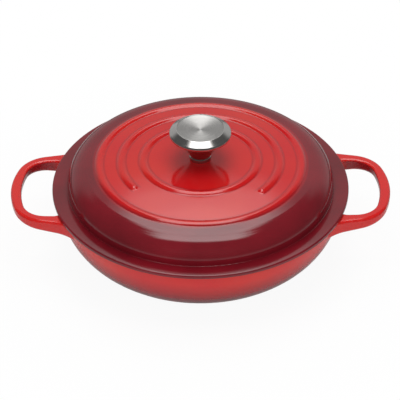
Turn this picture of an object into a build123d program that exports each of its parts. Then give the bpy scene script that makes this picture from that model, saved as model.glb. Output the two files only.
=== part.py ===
"""Shallow cast-iron braiser: an enamelled pot with two loop handles, a domed lid and a steel knob.

Millimetres. +Z is up, +X runs through the two handles, and the origin is the middle of the base,
on the surface that the pot stands on.
"""

from build123d import *
from math import asin, atan2, cos, degrees, radians, sin, sqrt, tan
import os

# Pot
pot_height = 58.4  # base to the top of the rim
pot_rim_radius = 132.0
pot_wall = 4.2
pot_side_spread = 44.6  # how far the rim stands out past the flat of the base
base_corner_radius = 36.3
base_corner_angle = 36.3  # how far the corner turns before the side takes over
base_ring_width = 21.0
base_recess_depth = 0.8
rim_round_share = 0.22  # of the wall

# Loop handles, cast in one with the pot
handle_projection = 45.0  # past the rim of the pot
handle_thickness = 8.9  # at the tip
handle_root_thickness = 15.4  # where a leg meets the pot
handle_below_rim = 0.6
handle_tip_radius = 88.0
handle_tip_width = 9.9
handle_half_span = 54.3  # outer edge of a leg where it meets the pot
handle_leg_width = 8.6
handle_leg_splay = 10.8
handle_corner_radius = 32.0
handle_hole_tip_radius = 100.0
handle_hole_corner_radius = 22.0
handle_root_outer_round = 33.0
handle_root_inner_round = 9.0
handle_core_depth = 35.0  # how far the core of the handle runs into the pot
handle_top_round_share = 0.28  # of the thickness at the tip
handle_under_round_share = 0.44

# Lid
lid_seat_clearance = 0.3
lid_overhang = 6.0
lid_wall = 4.0
brim_width = 14.2
brim_root_height = 2.8
brim_crest_rise = 0.4
brim_edge_height = 3.0
brim_edge_round_share = 0.45  # of the height of the edge
brim_under_round_share = 0.2
dome_foot_height = 3.8  # the upright foot of the dome, above the brim
groove_round_share = 0.11  # of the upright foot
shoulder_radius = 19.8
crown_radius = 900.0
lip_clearance = 1.3
lip_depth = 5.0
lip_width = 3.6
lip_round_share = 0.15  # of the width of the lip
stabiliser_count = 3
stabiliser_width = 14.0
stabiliser_clearance = 0.4

# Rings in relief on the lid
ring_inset = 30.0  # from the foot of the dome in to the crest of the outer ring
ring_spacing = 20.5
ring_section_radius = 4.8
ring_height = 1.8
ring_foot_round = 1.5
ring_end_round_share = 0.95  # of the section's radius, at the ends of the middle ring
ring_gap_angle = 98.0  # the middle ring stops at both sides of a plain panel
ring_gap_turn = -3.0  # the plain panel isn't quite square to the handles

# Knob seat in the middle of the lid
pad_height = 0.3
pad_margin = 0.5
seat_thickness = 5.2
seat_margin = 3.5  # of the boss past the flat washer that bears on it
boss_round_share = 0.4  # of the height of the boss
screw_hole_clearance = 0.25

# Knob
knob_height = 33.4
knob_radius = 28.5
knob_shoulder_drop = 4.4
knob_band_height = 2.8
knob_edge_round_share = 0.75  # of the height of the band
knob_lip_round_share = 0.25
knob_foot_radius = 10.0
knob_foot_height = 3.0
knob_foot_round_share = 0.25  # of the inset of the neck
knob_neck_inset = 0.8  # of the neck from the foot
knob_neck_lean = 28.0  # outwards, where the neck leaves the foot
knob_flare_radius = 120.0
knob_wall = 1.5
knob_rim_width = 0.8
knob_rim_round_share = 0.4  # of the width of the rim
cap_radius = 21.5
cap_ledge = 1.5
cap_thickness = 1.2
cap_dish = 1.5
cap_recess = 0.4
fit_clearance = 0.05

# Threaded insert, screw and washers
insert_radius = 5.2
insert_height = 15.0
insert_floor = 2.0
screw_radius = 3.0
screw_reach = 10.5  # above the face that the knob stands on
screw_tip_chamfer_share = 0.2  # of the radius
screw_head_radius = 6.6
screw_head_height = 3.3
screw_head_round_share = 0.7  # of the height of the head
cross_width = 1.5
cross_length = 7.4
cross_depth = 1.8
flat_washer_radius = 9.5
flat_washer_thickness = 1.2
washer_round_share = 0.25  # of the thickness
washer_clearance = 0.25
lock_washer_radius = 5.4
lock_washer_thickness = 1.5
lock_washer_slit = 1.2
lock_washer_lean = 25.0

# Sizes that follow from those above
base_flat_radius = pot_rim_radius - pot_side_spread
handle_reach = pot_rim_radius + handle_projection
handle_top = pot_height - handle_below_rim
handle_tip_bottom = handle_top - handle_thickness
lid_seat = pot_height + lid_seat_clearance
lid_radius = pot_rim_radius + lid_overhang
dome_radius = lid_radius - brim_width
brim_root = lid_seat + brim_root_height
ring_outer_radius = dome_radius - ring_inset

# Bowl section: a corner arc and a side arc that share a tangent where they meet
corner_turn = radians(base_corner_angle)
corner_centre = Vector(base_flat_radius, base_corner_radius)
corner_inward = Vector(-sin(corner_turn), cos(corner_turn))
corner_end = corner_centre - corner_inward * base_corner_radius
corner_to_rim = Vector(pot_rim_radius, pot_height) - corner_end
side_radius = corner_to_rim.length**2 / (2 * corner_inward.dot(corner_to_rim))
side_centre = corner_end + corner_inward * side_radius

# Dome section: a shoulder arc that starts upright and runs into the flatter crown arc
shoulder_centre = Vector(dome_radius - shoulder_radius, brim_root + dome_foot_height)
crown_to_shoulder = sqrt((crown_radius - shoulder_radius) ** 2 - shoulder_centre.X**2)
crown_centre = Vector(0, shoulder_centre.Y - crown_to_shoulder)
crown_angle = degrees(asin(shoulder_centre.X / (crown_radius - shoulder_radius)))
lid_top = crown_centre.Y + crown_radius


def pot_radius_at(height, inset=0.0):
    """Radius of the side of the pot at a height, inset from its outer face."""
    return side_centre.X + sqrt((side_radius - inset) ** 2 - (height - side_centre.Y) ** 2)


def crown_height_at(radius):
    """Height of the crown of the lid at a distance from its middle."""
    return crown_centre.Y + sqrt(crown_radius**2 - radius**2)


def bowl_arcs(inset):
    """The corner arc and the side arc up to the rim, inset from the outer face."""
    rim = Vector(pot_radius_at(pot_height, inset), pot_height) - side_centre
    side_start = base_corner_angle - 90
    side_turn = degrees(atan2(rim.Y, rim.X)) - side_start
    CenterArc(corner_centre, base_corner_radius - inset, -90, base_corner_angle)
    CenterArc(side_centre, side_radius - inset, side_start, side_turn)


def dome_arcs(inset):
    """The crown arc and the shoulder arc, inset from the outer face."""
    CenterArc(crown_centre, crown_radius - inset, 90, -crown_angle)
    CenterArc(shoulder_centre, shoulder_radius - inset, 90 - crown_angle, crown_angle - 90)


# Loop handle: an arched bar on two splayed legs that grow out of a round core, which fills the pot
# at this stage. The underside slopes from the thin tip down to the thick root.
leg_reach = sqrt(pot_rim_radius**2 - handle_half_span**2)
underside_drop = handle_root_thickness - handle_thickness
underside_slope = underside_drop / (handle_reach - leg_reach)
core_edge = pot_rim_radius - handle_core_depth
core_bottom = handle_tip_bottom - underside_slope * (handle_reach - core_edge)
root_radius = pot_radius_at(core_bottom)
leg_slope = tan(radians(handle_leg_splay))
leg_taper = (handle_reach - root_radius) * leg_slope
hole_reach = handle_reach - handle_tip_width
hole_half_span = handle_half_span - handle_leg_width
underside_plane = Plane(origin=(handle_reach, 0, handle_tip_bottom), z_dir=(-underside_slope, 0, 1))

with BuildSketch() as handle_hole:
    with BuildLine():
        Polyline(
            (0, -hole_half_span),
            (handle_reach, -hole_half_span + leg_taper / 2),
            (handle_reach, hole_half_span - leg_taper / 2),
            (0, hole_half_span),
            close=True,
        )
    make_face()
    with Locations((hole_reach - handle_hole_tip_radius, 0)):
        Circle(handle_hole_tip_radius, mode=Mode.INTERSECT)
    Circle(root_radius, mode=Mode.SUBTRACT)
    fillet(handle_hole.vertices().sort_by(Axis.X)[-2:], handle_hole_corner_radius)
    fillet(handle_hole.vertices().sort_by(Axis.X)[:2], handle_root_inner_round)

with BuildSketch() as handle_plan:
    with BuildLine():
        Polyline(
            (0, -handle_half_span - root_radius * leg_slope),
            (handle_reach, -handle_half_span + leg_taper),
            (handle_reach, handle_half_span - leg_taper),
            (0, handle_half_span + root_radius * leg_slope),
            close=True,
        )
    make_face()
    with Locations((handle_reach - handle_tip_radius, 0)):
        Circle(handle_tip_radius, mode=Mode.INTERSECT)
    fillet(handle_plan.vertices().sort_by(Axis.X)[-2:], handle_corner_radius)
    Circle(root_radius)
    fillet(handle_plan.vertices().sort_by_distance((0, 0))[:2], handle_root_outer_round)
    add(handle_hole.sketch, mode=Mode.SUBTRACT)

with BuildPart() as handle_loop:
    with BuildSketch(Plane.XY.offset(handle_top)):
        add(handle_plan.sketch)
        with Locations((core_edge, 0)):
            Rectangle(handle_reach, 2 * handle_reach, align=(Align.MIN, Align.CENTER), mode=Mode.INTERSECT)
    extrude(amount=core_bottom - handle_top)
    split(bisect_by=underside_plane, keep=Keep.TOP)
    lower_faces = handle_loop.faces().filter_by(underside_plane)
    upper_faces = handle_loop.faces().filter_by(Plane.XY)
    long_edges = lower_faces.edges() + upper_faces.edges()
    fillet(lower_faces.edges() - long_edges.filter_by(Axis.Y), handle_under_round_share * handle_thickness)
    upper_faces = handle_loop.faces().filter_by(Plane.XY)
    upper_edges = upper_faces.edges()
    fillet(upper_edges - upper_edges.filter_by(Axis.Y), handle_top_round_share * handle_thickness)

# Pot
with BuildPart() as pot:
    with BuildSketch(Plane.XZ) as pot_section:
        with BuildLine():
            bowl_arcs(0)
            Polyline((pot_rim_radius, pot_height), (0, pot_height), (0, 0), (base_flat_radius, 0))
        make_face()
        outer_corner = pot_section.vertices().sort_by_distance((pot_rim_radius, pot_height))[0]
        fillet(outer_corner, rim_round_share * pot_wall)
    revolve(axis=Axis.Z)
    with BuildSketch():
        Circle(base_flat_radius - base_ring_width)
    extrude(amount=base_recess_depth, mode=Mode.SUBTRACT)
    add(handle_loop.part)
    mirror(handle_loop.part, about=Plane.YZ)
    with BuildSketch(Plane.XZ):
        with BuildLine():
            bowl_arcs(pot_wall)
            Polyline(
                (pot_radius_at(pot_height, pot_wall), pot_height),
                (0, pot_height),
                (0, pot_wall),
                (base_flat_radius, pot_wall),
            )
        make_face()
    revolve(axis=Axis.Z, mode=Mode.SUBTRACT)
    inner_edge = pot.edges().group_by(Axis.Z)[-1].sort_by(SortBy.RADIUS)[0]
    fillet(inner_edge, rim_round_share * pot_wall)
pot.part.label = "pot"

# Rings in relief on the lid: the middle one is an arc with round ends
ring_depth = ring_section_radius - ring_height  # of the middle of the section below the crown
arc_ring_radius = ring_outer_radius - ring_spacing
inner_ring_radius = arc_ring_radius - ring_spacing
ring_arc_start = ring_gap_turn + ring_gap_angle / 2 - 90

with BuildPart() as arc_ring:
    with BuildSketch(Plane.XZ):
        with Locations((arc_ring_radius, crown_height_at(arc_ring_radius) - ring_depth)):
            Circle(ring_section_radius)
    revolve(axis=Axis.Z, revolution_arc=360 - ring_gap_angle)
    fillet(arc_ring.faces().filter_by(GeomType.PLANE).edges(), ring_end_round_share * ring_section_radius)

with BuildPart() as ring_relief:
    with BuildSketch(Plane.XZ):
        for radius in (ring_outer_radius, inner_ring_radius):
            with Locations((radius, crown_height_at(radius) - ring_depth)):
                Circle(ring_section_radius)
    revolve(axis=Axis.Z)
    add(arc_ring.part, rotation=(0, 0, ring_arc_start))

# Lid
pot_mouth = pot_radius_at(pot_height, pot_wall)
lip_reach = min(pot_mouth, pot_radius_at(lid_seat - lip_depth, pot_wall))  # where the lugs go in
lip_radius = lip_reach - lip_clearance
pad_radius = knob_foot_radius + pad_margin
knob_seat = lid_top + pad_height
boss_bottom = knob_seat - seat_thickness
boss_radius = flat_washer_radius + seat_margin
boss_height = lid_top - lid_wall - boss_bottom
screw_hole_radius = screw_radius + screw_hole_clearance

with BuildPart() as lid:
    with BuildSketch(Plane.XZ) as lid_section:
        with BuildLine():
            dome_arcs(0)
            Line((dome_radius, shoulder_centre.Y), (dome_radius, brim_root))
            ThreePointArc(
                (dome_radius, brim_root),
                (dome_radius + brim_width / 2, brim_root + brim_crest_rise),
                (lid_radius, lid_seat + brim_edge_height),
            )
            Polyline(
                (lid_radius, lid_seat + brim_edge_height),
                (lid_radius, lid_seat),
                (lip_radius, lid_seat),
                (lip_radius, lid_seat - lip_depth),
                (0, lid_seat - lip_depth),
                (0, lid_top),
            )
        make_face()
        corners = lid_section.vertices()
        fillet(corners.sort_by_distance((dome_radius, brim_root))[0], groove_round_share * dome_foot_height)
        corners = lid_section.vertices()
        edge_top = corners.sort_by_distance((lid_radius, lid_seat + brim_edge_height))[0]
        fillet(edge_top, brim_edge_round_share * brim_edge_height)
        edge_under = corners.sort_by_distance((lid_radius, lid_seat))[0]
        fillet(edge_under, brim_under_round_share * brim_edge_height)
    revolve(axis=Axis.Z)

    # Lugs on the lip that centre the lid in the pot
    with BuildSketch(Plane.XY.offset(lid_seat)) as lugs:
        with PolarLocations(lip_radius, stabiliser_count):
            Rectangle(2 * lip_clearance, stabiliser_width)
        Circle(lip_reach - stabiliser_clearance, mode=Mode.INTERSECT)
    extrude(amount=-lip_depth)

    add(ring_relief.part)
    fillet(lid.edges(Select.NEW), ring_foot_round)

    # Hollow underside, with a boss that the screw pulls against
    with BuildSketch(Plane.XZ) as hollow_section:
        with BuildLine():
            dome_arcs(lid_wall)
            Polyline(
                (dome_radius - lid_wall, shoulder_centre.Y),
                (lip_radius - lip_width, lid_seat - lip_depth),
                (0, lid_seat - lip_depth),
                (0, lid_top - lid_wall),
            )
        make_face()
        with Locations((0, boss_bottom)):
            Rectangle(boss_radius, lid_wall, align=Align.MIN, mode=Mode.SUBTRACT)
        boss_corners = hollow_section.vertices().sort_by_distance((boss_radius, boss_bottom))[:2]
        fillet(boss_corners, boss_round_share * boss_height)
    revolve(axis=Axis.Z, mode=Mode.SUBTRACT)
    fillet(lid.edges().group_by(Axis.Z)[0], lip_round_share * lip_width)

    with BuildSketch(Plane.XY.offset(knob_seat)):
        Circle(pad_radius)
    extrude(amount=-seat_thickness)
    with BuildSketch(Plane.XY.offset(knob_seat)):
        Circle(screw_hole_radius)
    extrude(amount=-seat_thickness, mode=Mode.SUBTRACT)
lid.part.label = "lid"

# Knob: a hollow casting with a foot, a flared neck and an undercut head
knob_plane = Plane.XZ.shift_origin((0, 0, knob_seat))
knob_neck_radius = knob_foot_radius - knob_neck_inset
knob_lip_height = knob_height - knob_shoulder_drop - knob_band_height
knob_rim_radius = cap_radius + fit_clearance + knob_rim_width
neck_lean = radians(knob_neck_lean)
neck_outward = Vector(cos(neck_lean), -sin(neck_lean))
flare_centre = Vector(knob_neck_radius, knob_foot_height) + neck_outward * knob_flare_radius
cap_edge_top = knob_height - cap_recess
cap_top_radius = (cap_radius**2 + cap_dish**2) / (2 * cap_dish)
cap_centre = Vector(0, cap_edge_top - cap_dish + cap_top_radius)
ledge_radius = cap_radius - cap_ledge
cap_under_radius = cap_top_radius + cap_thickness
ledge_height = cap_centre.Y - sqrt(cap_under_radius**2 - ledge_radius**2)
head_floor = knob_lip_height + knob_wall


def flare_angle(inset, height):
    """How far the flare of the neck has turned out at a height, from upright."""
    return degrees(asin((height - flare_centre.Y) / (knob_flare_radius + inset)))


def flare_reach(inset, height):
    """How far out the flare of the neck is at a height, inset from its outer face."""
    return flare_centre.X - sqrt((knob_flare_radius + inset) ** 2 - (height - flare_centre.Y) ** 2)


def flare_arc(inset, bottom, top):
    """The flare of the neck between two heights, inset from its outer face."""
    start = flare_angle(inset, bottom)
    CenterArc(flare_centre, knob_flare_radius + inset, 180 - start, start - flare_angle(inset, top))


with BuildPart() as knob_body:
    with BuildSketch(knob_plane) as knob_section:
        with BuildLine():
            Polyline(
                (knob_neck_radius, knob_foot_height),
                (knob_foot_radius, knob_foot_height),
                (knob_foot_radius, 0),
                (0, 0),
                (0, knob_height),
                (knob_rim_radius, knob_height),
                (knob_radius, knob_height - knob_shoulder_drop),
                (knob_radius, knob_lip_height),
                (flare_reach(0, knob_lip_height), knob_lip_height),
            )
            flare_arc(0, knob_foot_height, knob_lip_height)
        make_face()
        corners = knob_section.vertices()
        foot_corners = [
            corners.sort_by_distance((knob_foot_radius, 0))[0],
            corners.sort_by_distance((knob_foot_radius, knob_foot_height))[0],
            corners.sort_by_distance((knob_neck_radius, knob_foot_height))[0],
        ]
        fillet(foot_corners, knob_foot_round_share * knob_neck_inset)
        corners = knob_section.vertices()
        shoulder_corner = corners.sort_by_distance((knob_radius, knob_height - knob_shoulder_drop))[0]
        fillet(shoulder_corner, knob_edge_round_share * knob_band_height)
        corners = knob_section.vertices()
        lip_corner = corners.sort_by_distance((knob_radius, knob_lip_height))[0]
        fillet(lip_corner, knob_lip_round_share * knob_band_height)
    revolve(axis=Axis.Z)

    with BuildSketch(knob_plane):
        with BuildLine():
            flare_arc(knob_wall, insert_height, head_floor)
            Polyline(
                (flare_reach(knob_wall, head_floor), head_floor),
                (ledge_radius, head_floor),
                (ledge_radius, ledge_height),
                (cap_radius + fit_clearance, ledge_height),
                (cap_radius + fit_clearance, knob_height),
                (0, knob_height),
                (0, insert_height),
                (flare_reach(knob_wall, insert_height), insert_height),
            )
        make_face()
    revolve(axis=Axis.Z, mode=Mode.SUBTRACT)
    with BuildSketch(Plane.XY.offset(knob_seat)):
        Circle(insert_radius + fit_clearance)
    extrude(amount=insert_height, mode=Mode.SUBTRACT)
    fillet(knob_body.edges().group_by(Axis.Z)[-1], knob_rim_round_share * knob_rim_width)
knob_body.part.label = "knob_body"

# Dished disc that closes the head of the knob
with BuildPart() as knob_cap:
    with BuildSketch(knob_plane):
        with BuildLine():
            top_turn = degrees(asin(cap_radius / cap_top_radius))
            under_turn = degrees(asin(ledge_radius / cap_under_radius))
            CenterArc(cap_centre, cap_top_radius, -90, top_turn)
            CenterArc(cap_centre, cap_under_radius, -90, under_turn)
            Polyline((cap_radius, cap_edge_top), (cap_radius, ledge_height), (ledge_radius, ledge_height))
            Line((0, cap_centre.Y - cap_top_radius), (0, cap_centre.Y - cap_under_radius))
        make_face()
    revolve(axis=Axis.Z)
knob_cap.part.label = "knob_cap"

# Threaded bush in the neck
with BuildPart() as knob_insert:
    with BuildSketch(Plane.XY.offset(knob_seat)):
        Circle(insert_radius)
        Circle(screw_radius + fit_clearance, mode=Mode.SUBTRACT)
    extrude(amount=insert_height - insert_floor)
    with BuildSketch(Plane.XY.offset(knob_seat + insert_height)):
        Circle(insert_radius)
    extrude(amount=-insert_floor)
knob_insert.part.label = "knob_insert"

# Stack under the lid, from the boss down: flat washer, split lock washer and screw head
flat_washer_bottom = boss_bottom - flat_washer_thickness
lock_washer_bottom = flat_washer_bottom - lock_washer_thickness
screw_head_bottom = lock_washer_bottom - screw_head_height

with BuildPart() as flat_washer:
    with BuildSketch(Plane.XY.offset(flat_washer_bottom)):
        Circle(flat_washer_radius)
        Circle(screw_radius + washer_clearance, mode=Mode.SUBTRACT)
    extrude(amount=flat_washer_thickness)
    rim_edges = flat_washer.edges().filter_by(GeomType.CIRCLE).sort_by(SortBy.RADIUS)[-2:]
    fillet(rim_edges, washer_round_share * flat_washer_thickness)
flat_washer.part.label = "flat_washer"

with BuildPart() as lock_washer:
    with BuildSketch(Plane.XY.offset(lock_washer_bottom)):
        Circle(lock_washer_radius)
        Circle(screw_radius + washer_clearance, mode=Mode.SUBTRACT)
    extrude(amount=lock_washer_thickness)
    slit_place = Location((lock_washer_radius, 0, lock_washer_bottom + lock_washer_thickness / 2))
    with Locations(slit_place * Rotation(lock_washer_lean, 0, 0)):
        Box(lock_washer_radius, lock_washer_slit, 2 * lock_washer_thickness, mode=Mode.SUBTRACT)
lock_washer.part.label = "lock_washer"

with BuildPart() as knob_screw:
    with BuildSketch(Plane.XY.offset(lock_washer_bottom)):
        Circle(screw_head_radius)
    extrude(amount=-screw_head_height)
    head_edge = knob_screw.edges().group_by(Axis.Z)[0]
    fillet(head_edge, screw_head_round_share * screw_head_height)
    with BuildSketch(Plane.XY.offset(knob_seat + screw_reach)):
        Circle(screw_radius)
    extrude(amount=lock_washer_bottom - knob_seat - screw_reach)
    chamfer(knob_screw.edges().group_by(Axis.Z)[-1], screw_tip_chamfer_share * screw_radius)
    with BuildSketch(Plane.XY.offset(screw_head_bottom)):
        Rectangle(cross_length, cross_width)
        Rectangle(cross_width, cross_length)
    extrude(amount=cross_depth, mode=Mode.SUBTRACT)
knob_screw.part.label = "knob_screw"

os.makedirs("parts", exist_ok=True)
for piece in (pot, lid, knob_body, knob_cap, knob_insert, flat_washer, lock_washer, knob_screw):
    export_step(piece.part, f"parts/{piece.part.label}.step")
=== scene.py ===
"""Looks, lights and camera for the braiser. Metres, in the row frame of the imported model."""

import math

import bpy
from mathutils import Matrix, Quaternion, Vector

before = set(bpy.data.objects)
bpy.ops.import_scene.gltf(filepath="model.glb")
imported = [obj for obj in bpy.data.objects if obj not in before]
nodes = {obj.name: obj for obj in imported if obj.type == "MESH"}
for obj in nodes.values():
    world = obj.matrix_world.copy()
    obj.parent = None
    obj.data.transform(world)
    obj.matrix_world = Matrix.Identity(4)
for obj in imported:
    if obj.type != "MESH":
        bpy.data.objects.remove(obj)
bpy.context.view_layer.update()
scene = bpy.context.scene

# Sections of the two castings: where one coat of enamel gives way to the next
POT_SIDE_CENTRE = (0.07501, 0.05317)
POT_SIDE_MIDDLE = 0.05513  # radius of the middle of the wall
POT_FLOOR_MIDDLE = 0.0021
POT_RIM_BLACK_ABOVE = 0.05755
POT_RIM_BLACK_WITHIN = 0.13165
LID_SHOULDER_CENTRE = (0.104, 0.0653)
LID_SHOULDER_MIDDLE = 0.0178
LID_CROWN_CENTRE = (0.0, -0.80873)
LID_CROWN_MIDDLE = 0.898
LID_FOOT_INSIDE = 0.1233
LID_LIP_BLACK_BELOW = 0.059

# How soft the edges of the coats are, to each side
COAT_EDGE = 0.00002
SECTION_EDGE = 0.00001
POT_RIM_EDGE = 0.00012
POT_RIM_SIDE_EDGE = 0.00006
LID_LIP_EDGE = 0.00008
LID_LIP_SIDE_EDGE = 0.00005

# How the edges of the coats waver: scale of the noise, and its whole reach
POT_RIM_WAVER = (60.0, 0.0008)
LID_LIP_WAVER = (60.0, 0.0004)
POT_RED_WAVER = (12.0, 0.008)
LID_RED_WAVER = (14.0, 0.003)
WAVER_DETAIL = 3.0

# Where the red runs from bright to burgundy: inwards on the lid, upwards on the pot
LID_RED_WITHIN = 0.0945
LID_DEEP_BEYOND = 0.1005
POT_DEEP_BELOW = 0.018
POT_RED_ABOVE = 0.046

# Rings in relief on the lid: both feet of each are darker, partly the coat pooling there and partly painted
# shade in the creases, and the coat is thin on its crest
RING_RADII = (0.0528, 0.0733, 0.0938)
ARC_RING = 1  # the ring that stops at both sides of the plain panel
RING_FOOT = 0.0045
RING_FOOT_HALF_WIDTH = 0.0015
RING_GAP_TURN = math.radians(-3)
RING_GAP_COSINE = 0.655
RING_GAP_EDGE = 0.02
RING_POOL_AND_SHADE_SHARE = 0.42
LEAST_RADIUS = 0.001  # keeps the division clear of zero in the middle of the lid

# Inner faces of the handle loops, darkened with painted shade
HOLE_ARC_CENTRE = 0.0671
HOLE_ARC_RADIUS = 0.1006
HOLE_HALF_SPAN = 0.0461
HOLE_TAPER = 0.0248
HOLE_EDGE = 0.0003
HOLE_SHADE_SHARE = 0.75
HANDLE_BEYOND = 0.137
HANDLE_EDGE = 0.003
UPRIGHT_SLOPE = 0.55  # of the normal's height, under which a face counts as upright
UPRIGHT_EDGE = 0.25

# Patches in the coats: scale and detail of the noise, and the values where a patch starts and is whole
RED_POOLS = (16.0, 3.0, 0.35, 0.68)
RED_SPECKS = (900.0, 2.0, 0.64, 0.74)
CREAM_SPECKS = (620.0, 1.0, 0.66, 0.72)
BLACK_SPECKS = (1400.0, 1.0, 0.58, 0.7)
RED_SPECK_SHARE = 0.25
CREAM_SPECK_SHARE = 0.55

# Gloss and relief of the enamel
ENAMEL_IOR = 1.6
RED_ROUGHNESS = (0.1, 0.13)  # between the pools and in them
CREAM_ROUGHNESS = 0.16
BLACK_ROUGHNESS = 0.5
PEEL_SCALE = 150.0
PEEL_DEPTH = 0.000008
CASTING_SCALE = 38.0
CASTING_DEPTH = 0.00004

# Grain of the steel
GRAIN_SCALE = 9000.0
GRAIN_DETAIL = 3.0
GRAIN_ROUGHNESS = 0.6
GRAIN_RANGE = (0.3, 0.7)
GRAIN_DEPTH_TURNED = 0.000002
GRAIN_DEPTH_PLAIN = 0.000001
CLOUD_SCALE = 240.0
CLOUD_RANGE = (0.15, 0.4)
CLOUD_SHADE = 0.9
ROUND_THE_AXIS = 0.25  # of a turn, from the radial tangent to the grain that runs round

# Colours, linear
RED = (0.51, 0.007, 0.009, 1)
RED_WARM = (0.54, 0.014, 0.008, 1)
# Painted light: the pot's reds are the lid's reds made lighter, as if its sides were lit more
RED_PAINTED_LIT = (0.57, 0.008, 0.01, 1)
RED_PAINTED_LIT_WARM = (0.6, 0.015, 0.009, 1)
BURGUNDY = (0.19, 0.007, 0.014, 1)
BURGUNDY_DARK = (0.13, 0.005, 0.01, 1)
CREAM = (0.74, 0.63, 0.46, 1)
CREAM_SPECK = (0.5, 0.39, 0.26, 1)
BLACK = (0.018, 0.017, 0.016, 1)
BLACK_SPECK = (0.05, 0.047, 0.044, 1)
STEEL = (0.62, 0.6, 0.58, 1)
STEEL_CAP = (0.47, 0.46, 0.445, 1)
STEEL_DARK = (0.45, 0.44, 0.42, 1)
PAPER = (0.79, 0.79, 0.79, 1)
PAPER_FIBRE = (0.81, 0.81, 0.81, 1)
PAPER_FAR = (0.12, 0.12, 0.12, 1)
WHITE = (1, 1, 1, 1)


class Nodes:
    """The node tree of a material or a world, with short calls for the nodes that repeat."""

    def __init__(self, owner, output="ShaderNodeOutputMaterial"):
        self.owner = owner
        owner.use_nodes = True
        self.tree = owner.node_tree
        self.tree.nodes.clear()
        self.out = self.tree.nodes.new(output)

    def put(self, socket, value):
        if isinstance(value, bpy.types.NodeSocket):
            self.tree.links.new(value, socket)
        else:
            socket.default_value = value

    def add(self, kind, inputs=None, **settings):
        node = self.tree.nodes.new(kind)
        for key, value in settings.items():
            setattr(node, key, value)
        for key, value in (inputs or {}).items():
            self.put(node.inputs[key], value)
        return node

    def math(self, operation, a, b=0.0):
        return self.add("ShaderNodeMath", {0: a, 1: b}, operation=operation).outputs[0]

    def product(self, a, b):
        return self.math("MULTIPLY", a, b)

    def opposite(self, value):
        """1 where the value is 0, and 0 where it is 1."""
        return self.math("SUBTRACT", 1.0, value)

    def mix(self, factor, a, b):
        """From colour a to colour b."""
        return self.add("ShaderNodeMix", {0: factor, 6: a, 7: b}, data_type="RGBA").outputs[2]

    def blend(self, factor, a, b):
        """From number a to number b."""
        return self.add("ShaderNodeMix", {0: factor, 2: a, 3: b}, data_type="FLOAT").outputs[0]

    def parts(self, vector):
        return self.add("ShaderNodeSeparateXYZ", {"Vector": vector}).outputs

    def place(self):
        """The point on the piece: its vector, its distance from the Z axis and its height."""
        point = self.add("ShaderNodeTexCoord").outputs["Object"]
        parts = self.parts(point)
        flat = self.add("ShaderNodeCombineXYZ", {"X": parts["X"], "Y": parts["Y"]}).outputs[0]
        radius = self.add("ShaderNodeVectorMath", {0: flat}, operation="LENGTH")
        return point, radius.outputs["Value"], parts["Z"]

    def ramp(self, value, low, high, start=0.0, end=1.0, curve="LINEAR"):
        """From start to end as the value goes from low to high."""
        inputs = {"Value": value, "From Min": low, "From Max": high, "To Min": start, "To Max": end}
        node = self.add("ShaderNodeMapRange", inputs, clamp=True, interpolation_type=curve)
        return node.outputs["Result"]

    def below(self, value, limit, edge):
        """1 where the value is below the limit, 0 above it, over a soft edge."""
        return self.ramp(value, limit - edge, limit + edge, 1.0, 0.0)

    def distance(self, radius, height, centre):
        """Distance in the section from a centre given as (radius, height)."""
        across = self.math("SUBTRACT", radius, centre[0])
        up = self.math("SUBTRACT", height, centre[1])
        squares = self.math("ADD", self.product(across, across), self.product(up, up))
        return self.math("SQRT", squares)

    def noise(self, vector, scale, detail=2.0, roughness=0.5):
        inputs = {"Vector": vector, "Scale": scale, "Detail": detail, "Roughness": roughness}
        return self.add("ShaderNodeTexNoise", inputs).outputs["Fac"]

    def patches(self, vector, scale, detail, low, high):
        return self.ramp(self.noise(vector, scale, detail), low, high)

    def waver(self, value, vector, scale, reach):
        """The value, moved up and down by a slow noise."""
        noise = self.noise(vector, scale, WAVER_DETAIL)
        return self.math("ADD", value, self.product(self.math("SUBTRACT", noise, 0.5), reach))

    def bump(self, height, depth, normal=None):
        node = self.add("ShaderNodeBump", {"Height": height, "Distance": depth, "Strength": 1.0})
        if normal is not None:
            self.put(node.inputs["Normal"], normal)
        return node.outputs[0]

    def surface(self, shader):
        self.put(self.out.inputs["Surface"], shader.outputs[0])


def enamel(name, masks, bright, warm):
    """Enamelled cast iron. The masks say how far a point is inside, on the black rim, deep (on the pot with
    painted shade inside the handle loops), or darkened at the ring feet by coat pooling and painted shade.
    """
    m = Nodes(bpy.data.materials.new(name))
    point, radius, height = m.place()
    inside, rim, deep, pooled_and_shaded = masks(m, point, radius, height)
    pools = m.patches(point, *RED_POOLS)
    # The ring feet go towards burgundy: coat pooling and painted shade
    red = m.mix(pooled_and_shaded, m.mix(pools, bright, warm), BURGUNDY)
    burgundy = m.mix(pools, BURGUNDY, BURGUNDY_DARK)
    specks = m.product(m.patches(point, *RED_SPECKS), RED_SPECK_SHARE)
    # deep runs the red to burgundy; on the pot it also carries the painted shade inside the handle loops
    outside = m.mix(specks, m.mix(deep, red, burgundy), BURGUNDY)
    cream_specks = m.product(m.patches(point, *CREAM_SPECKS), CREAM_SPECK_SHARE)
    cream = m.mix(cream_specks, CREAM, CREAM_SPECK)
    black = m.mix(m.patches(point, *BLACK_SPECKS), BLACK, BLACK_SPECK)
    red_roughness = m.blend(pools, *RED_ROUGHNESS)
    coated_roughness = m.blend(inside, red_roughness, CREAM_ROUGHNESS)
    casting = m.bump(m.noise(point, CASTING_SCALE), CASTING_DEPTH)
    m.surface(m.add("ShaderNodeBsdfPrincipled", {
        "Base Color": m.mix(rim, m.mix(inside, outside, cream), black),
        "Roughness": m.blend(rim, coated_roughness, BLACK_ROUGHNESS),
        "IOR": ENAMEL_IOR,
        "Normal": m.bump(m.noise(point, PEEL_SCALE), PEEL_DEPTH, casting),
    }))
    return m.owner


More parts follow.
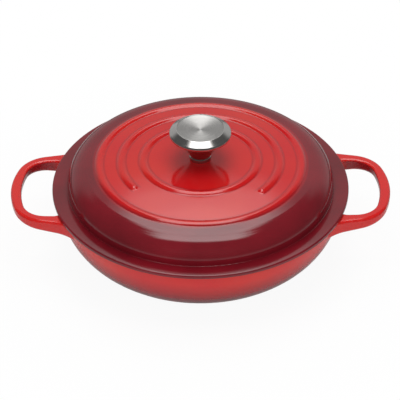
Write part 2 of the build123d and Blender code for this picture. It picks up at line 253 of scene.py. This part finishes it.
def pot_masks(m, point, radius, height):
    side = m.below(m.distance(radius, height, POT_SIDE_CENTRE), POT_SIDE_MIDDLE, COAT_EDGE)
    middle = m.below(radius, POT_SIDE_CENTRE[0], SECTION_EDGE)
    above_base = m.opposite(m.below(height, POT_FLOOR_MIDDLE, COAT_EDGE))
    inside = m.product(m.math("MAXIMUM", side, middle), above_base)
    rim_height = m.waver(height, point, *POT_RIM_WAVER)
    high = m.opposite(m.below(rim_height, POT_RIM_BLACK_ABOVE, POT_RIM_EDGE))
    rim = m.product(high, m.below(radius, POT_RIM_BLACK_WITHIN, POT_RIM_SIDE_EDGE))
    foot = m.ramp(m.waver(height, point, *POT_RED_WAVER), POT_DEEP_BELOW, POT_RED_ABOVE, 1.0, 0.0)
    # Painted shade: the upright faces inside the handle loops go towards burgundy
    hole = m.product(handle_hole_shade(m, point), HOLE_SHADE_SHARE)
    return inside, rim, m.math("MAXIMUM", foot, hole), 0.0


def handle_hole_shade(m, point):
    """1 on the upright faces inside the loops of the two handles, where shade is painted."""
    parts = m.parts(point)
    across = m.math("ABSOLUTE", parts["X"])
    along = m.math("ABSOLUTE", parts["Y"])
    tip = m.below(m.distance(across, along, (HOLE_ARC_CENTRE, 0.0)), HOLE_ARC_RADIUS, HOLE_EDGE)
    legs = m.below(m.math("ADD", along, m.product(across, HOLE_TAPER)), HOLE_HALF_SPAN, HOLE_EDGE)
    past_pot = m.opposite(m.below(across, HANDLE_BEYOND, HANDLE_EDGE))
    normal = m.parts(m.add("ShaderNodeTexCoord").outputs["Normal"])
    upright = m.below(m.math("ABSOLUTE", normal["Z"]), UPRIGHT_SLOPE, UPRIGHT_EDGE)
    return m.product(m.product(tip, legs), m.product(past_pot, upright))


def lid_masks(m, point, radius, height):
    foot = m.below(radius, LID_FOOT_INSIDE, COAT_EDGE)
    shoulder_reach = m.distance(radius, height, LID_SHOULDER_CENTRE)
    shoulder = m.below(shoulder_reach, LID_SHOULDER_MIDDLE, COAT_EDGE)
    crown = m.below(m.distance(radius, height, LID_CROWN_CENTRE), LID_CROWN_MIDDLE, COAT_EDGE)
    on_crown = m.below(radius, LID_SHOULDER_CENTRE[0], SECTION_EDGE)
    on_foot = m.below(height, LID_SHOULDER_CENTRE[1], SECTION_EDGE)
    inside = m.blend(on_foot, m.blend(on_crown, shoulder, crown), foot)
    outer = m.opposite(m.below(radius, LID_FOOT_INSIDE, LID_LIP_SIDE_EDGE))
    lip_height = m.waver(height, point, *LID_LIP_WAVER)
    rim = m.product(outer, m.below(lip_height, LID_LIP_BLACK_BELOW, LID_LIP_EDGE))
    deep = m.ramp(m.waver(radius, point, *LID_RED_WAVER), LID_RED_WITHIN, LID_DEEP_BEYOND)
    # The last mask darkens the ring feet: coat pooling and painted shade in the creases
    return inside, rim, deep, m.product(ring_feet(m, point, radius), RING_POOL_AND_SHADE_SHARE)


def ring_feet(m, point, radius):
    """1 along the two feet of each ring in relief on the lid."""
    parts = m.parts(point)
    towards_x = m.product(parts["X"], math.sin(RING_GAP_TURN))
    towards_y = m.product(parts["Y"], -math.cos(RING_GAP_TURN))
    towards_panel = m.math("ADD", towards_x, towards_y)
    cosine = m.math("DIVIDE", towards_panel, m.math("MAXIMUM", radius, LEAST_RADIUS))
    arc = m.below(cosine, RING_GAP_COSINE, RING_GAP_EDGE)
    feet = []
    for number, ring in enumerate(RING_RADII):
        aside = m.math("ABSOLUTE", m.math("SUBTRACT", radius, ring))
        off = m.math("ABSOLUTE", m.math("SUBTRACT", aside, RING_FOOT))
        foot = m.ramp(off, 0.0, RING_FOOT_HALF_WIDTH, 1.0, 0.0)
        feet.append(m.product(foot, arc) if number == ARC_RING else foot)
    total = feet[0]
    for foot in feet[1:]:
        total = m.math("MAXIMUM", total, foot)
    return total


def steel(name, colour, roughness, spread, turned=True, anisotropic=0.0):
    """Steel with a fine grain that runs round the Z axis where it is turned, and every way where it isn't."""
    m = Nodes(bpy.data.materials.new(name))
    point, radius, height = m.place()
    grain_place = point
    if turned:
        grain_place = m.add("ShaderNodeCombineXYZ", {"X": radius, "Y": height}).outputs[0]
    grain = m.noise(grain_place, GRAIN_SCALE, GRAIN_DETAIL, GRAIN_ROUGHNESS)
    cloud = m.ramp(m.product(grain, m.noise(point, CLOUD_SCALE)), *CLOUD_RANGE)
    shade = tuple(channel * CLOUD_SHADE for channel in colour[:3]) + (1,)
    inputs = {
        "Base Color": m.mix(cloud, shade, colour),
        "Metallic": 1.0,
        "Roughness": m.ramp(grain, *GRAIN_RANGE, roughness - spread, roughness + spread),
        "Normal": m.bump(grain, GRAIN_DEPTH_TURNED if turned else GRAIN_DEPTH_PLAIN),
    }
    if anisotropic:
        inputs["Anisotropic"] = anisotropic
        inputs["Anisotropic Rotation"] = ROUND_THE_AXIS
        inputs["Tangent"] = m.add("ShaderNodeTangent", direction_type="RADIAL", axis="Z").outputs[0]
    m.surface(m.add("ShaderNodeBsdfPrincipled", inputs))
    return m.owner


def dress(node, material):
    for slot in nodes[node].material_slots:
        slot.material = material


# The pot takes the lighter reds, painted light on its sides
dress("pot", enamel("pot_enamel", pot_masks, RED_PAINTED_LIT, RED_PAINTED_LIT_WARM))
dress("lid", enamel("lid_enamel", lid_masks, RED, RED_WARM))
dress("knob_body", steel("knob_polished", STEEL, roughness=0.17, spread=0.03))
dress("knob_cap", steel("knob_brushed", STEEL_CAP, roughness=0.29, spread=0.04, anisotropic=0.84))
dress("knob_insert", steel("insert_steel", STEEL_DARK, roughness=0.35, spread=0.05))
dress("knob_screw", steel("screw_steel", STEEL, roughness=0.28, spread=0.05))
dress("flat_washer", steel("washer_steel", STEEL, roughness=0.32, spread=0.06))
dress("lock_washer", steel("lock_washer_steel", STEEL_DARK, roughness=0.4, spread=0.06, turned=False))

# Camera: seen from the front and above, with the framing of the photograph
CAMERA_TARGET = Vector((0, 0, 0.04))
CAMERA_DISTANCE = 2.0
CAMERA_ELEVATION = math.radians(36.8)
CAMERA_ROLL = math.radians(-0.25)
CAMERA_SENSOR = 36.0  # in millimetres, as the lens
CAMERA_LENS = 191.83
CAMERA_SHIFT = (-0.0014, 0.0057)
CAMERA_CLIP = (0.05, 50)


def place_camera():
    back = Vector((0, -math.cos(CAMERA_ELEVATION), math.sin(CAMERA_ELEVATION)))
    roll = Quaternion((0, 0, 1), CAMERA_ROLL)
    camera = bpy.data.objects.new("camera", bpy.data.cameras.new("camera"))
    camera.location = CAMERA_TARGET + back * CAMERA_DISTANCE
    camera.rotation_euler = ((-back).to_track_quat("-Z", "Y") @ roll).to_euler()
    camera.data.sensor_width = CAMERA_SENSOR
    camera.data.lens = CAMERA_LENS
    camera.data.shift_x, camera.data.shift_y = CAMERA_SHIFT
    camera.data.clip_start, camera.data.clip_end = CAMERA_CLIP
    scene.collection.objects.link(camera)
    scene.camera = camera


place_camera()

# Floor. To the camera it is white, with the object's shadow near the middle. To gloss and metal it is paper
# that darkens outwards, a little brighter near the object.
FLOOR_RADIUS = 0.75
FLOOR_SIDES = 96
FIBRES = (700.0, 2.0, 0.3, 0.7)  # as the patches in the coats
FAR_RADII = (0.12, 0.45)
CAMERA_WHITE_RADII = (0.16, 0.3)
CAMERA_WHITE_SHARES = (0.93, 1.0)
GLOSS_WHITE_RADII = (0.2, 0.4)
GLOSS_WHITE_SHARES = (0.1, 0.0)


def floor_paper():
    m = Nodes(bpy.data.materials.new("floor_paper"))
    point, radius, height = m.place()
    path = m.add("ShaderNodeLightPath").outputs
    glossy = m.math("MAXIMUM", path["Is Glossy Ray"], path["Is Transmission Ray"])
    near = m.mix(m.patches(point, *FIBRES), PAPER, PAPER_FIBRE)
    colour = m.mix(m.product(glossy, m.ramp(radius, *FAR_RADII)), near, PAPER_FAR)
    paper = m.add("ShaderNodeBsdfDiffuse", {"Color": colour}).outputs[0]
    white = m.add("ShaderNodeEmission", {"Color": WHITE, "Strength": 1.0}).outputs[0]
    camera_white = m.ramp(radius, *CAMERA_WHITE_RADII, *CAMERA_WHITE_SHARES)
    gloss_white = m.ramp(radius, *GLOSS_WHITE_RADII, *GLOSS_WHITE_SHARES)
    camera_share = m.product(path["Is Camera Ray"], camera_white)
    share = m.math("MAXIMUM", camera_share, m.product(glossy, gloss_white))
    m.surface(m.add("ShaderNodeMixShader", {"Fac": share, 1: paper, 2: white}))
    return m.owner


def lay_floor():
    turns = [2 * math.pi * side / FLOOR_SIDES for side in range(FLOOR_SIDES)]
    rim = [(FLOOR_RADIUS * math.cos(turn), FLOOR_RADIUS * math.sin(turn), 0) for turn in turns]
    mesh = bpy.data.meshes.new("floor")
    mesh.from_pydata(rim, [], [tuple(range(FLOOR_SIDES))])
    mesh.materials.append(floor_paper())
    floor = bpy.data.objects.new("floor", mesh)
    scene.collection.objects.link(floor)


lay_floor()

# World: white to the camera, a plain grey to the shading, and to gloss a dim room with a pale wall behind
CAMERA_LEVEL = 1.0
SHADING_LEVEL = 0.46
ROOM_LEVEL = 0.1
WALL_LEVEL = 0.5
WALL_BEHIND = (0.36, 0.76)  # how far a direction points back, where the wall starts and is whole
WALL_TOP = (0.63, 0.72)  # how far a direction points up, where the wall starts to fade and is gone


def light_world():
    m = Nodes(bpy.data.worlds.new("room"), "ShaderNodeOutputWorld")
    way = m.parts(m.add("ShaderNodeTexCoord").outputs["Generated"])
    behind = m.ramp(way["Y"], *WALL_BEHIND, curve="SMOOTHSTEP")
    low = m.ramp(way["Z"], *WALL_TOP, 1.0, 0.0, curve="SMOOTHSTEP")
    room = m.ramp(m.product(behind, low), 0.0, 1.0, ROOM_LEVEL, WALL_LEVEL, curve="SMOOTHSTEP")
    path = m.add("ShaderNodeLightPath").outputs
    glossy = m.math("MAXIMUM", path["Is Glossy Ray"], path["Is Transmission Ray"])
    strength = m.blend(path["Is Camera Ray"], m.blend(glossy, SHADING_LEVEL, room), CAMERA_LEVEL)
    m.surface(m.add("ShaderNodeBackground", {"Color": WHITE, "Strength": strength}))
    scene.world = m.owner


light_world()

# One long box overhead with soft edges. It is laid out in strips from front to back, and each strip is the
# sum of three panels of rising width, one just over the next.
BOX_HEIGHT = 1.29
PANEL_STEP = 0.002
PANEL_WIDTHS = (0.54, 0.64, 0.74)
BOX_STRIPS = [  # front, rear, strength, and the width as a multiple of the panel's
    (-0.44, -0.39, 1.0, 1.6),
    (-0.39, -0.33, 2.0, 1.6),
    (-0.33, -0.05, 2.8, 1.6),
    (-0.05, 0.2, 2.7, 1.3),
    (0.2, 0.9, 2.4, 1.0),
    (0.9, 1.08, 1.9, 1.0),
    (1.08, 1.26, 1.2, 1.0),
    (1.26, 1.43, 0.4, 1.0),
]

# A broad fill in front, which gloss doesn't show
FILL_PLACE = (0, -2.2, 0.9)
FILL_AIM = (0, 0, 0.05)
FILL_SIZE = (2.6, 1.2)
FILL_STRENGTH = 1.6

WATTS = 4  # of a lamp of one square metre with a strength of 1


def softbox(name, place, aim, width, depth, strength):
    data = bpy.data.lights.new(name, "AREA")
    data.shape = "RECTANGLE"
    data.size = width
    data.size_y = depth
    data.energy = WATTS * width * depth * strength
    lamp = bpy.data.objects.new(name, data)
    lamp.location = place
    lamp.rotation_euler = (Vector(aim) - Vector(place)).to_track_quat("-Z", "Y").to_euler()
    scene.collection.objects.link(lamp)
    return lamp


def hang_box():
    for strip, (front, rear, strength, widening) in enumerate(BOX_STRIPS):
        middle = (front + rear) / 2
        share = strength / len(PANEL_WIDTHS)
        for panel, width in enumerate(PANEL_WIDTHS):
            name = "overhead_%d_%d" % (strip, panel)
            place = (0, middle, BOX_HEIGHT + panel * PANEL_STEP)
            softbox(name, place, (0, middle, 0), width * widening, rear - front, share)


hang_box()
fill = softbox("front_fill", FILL_PLACE, FILL_AIM, *FILL_SIZE, FILL_STRENGTH)
fill.visible_glossy = False

scene.view_settings.view_transform = "Standard"
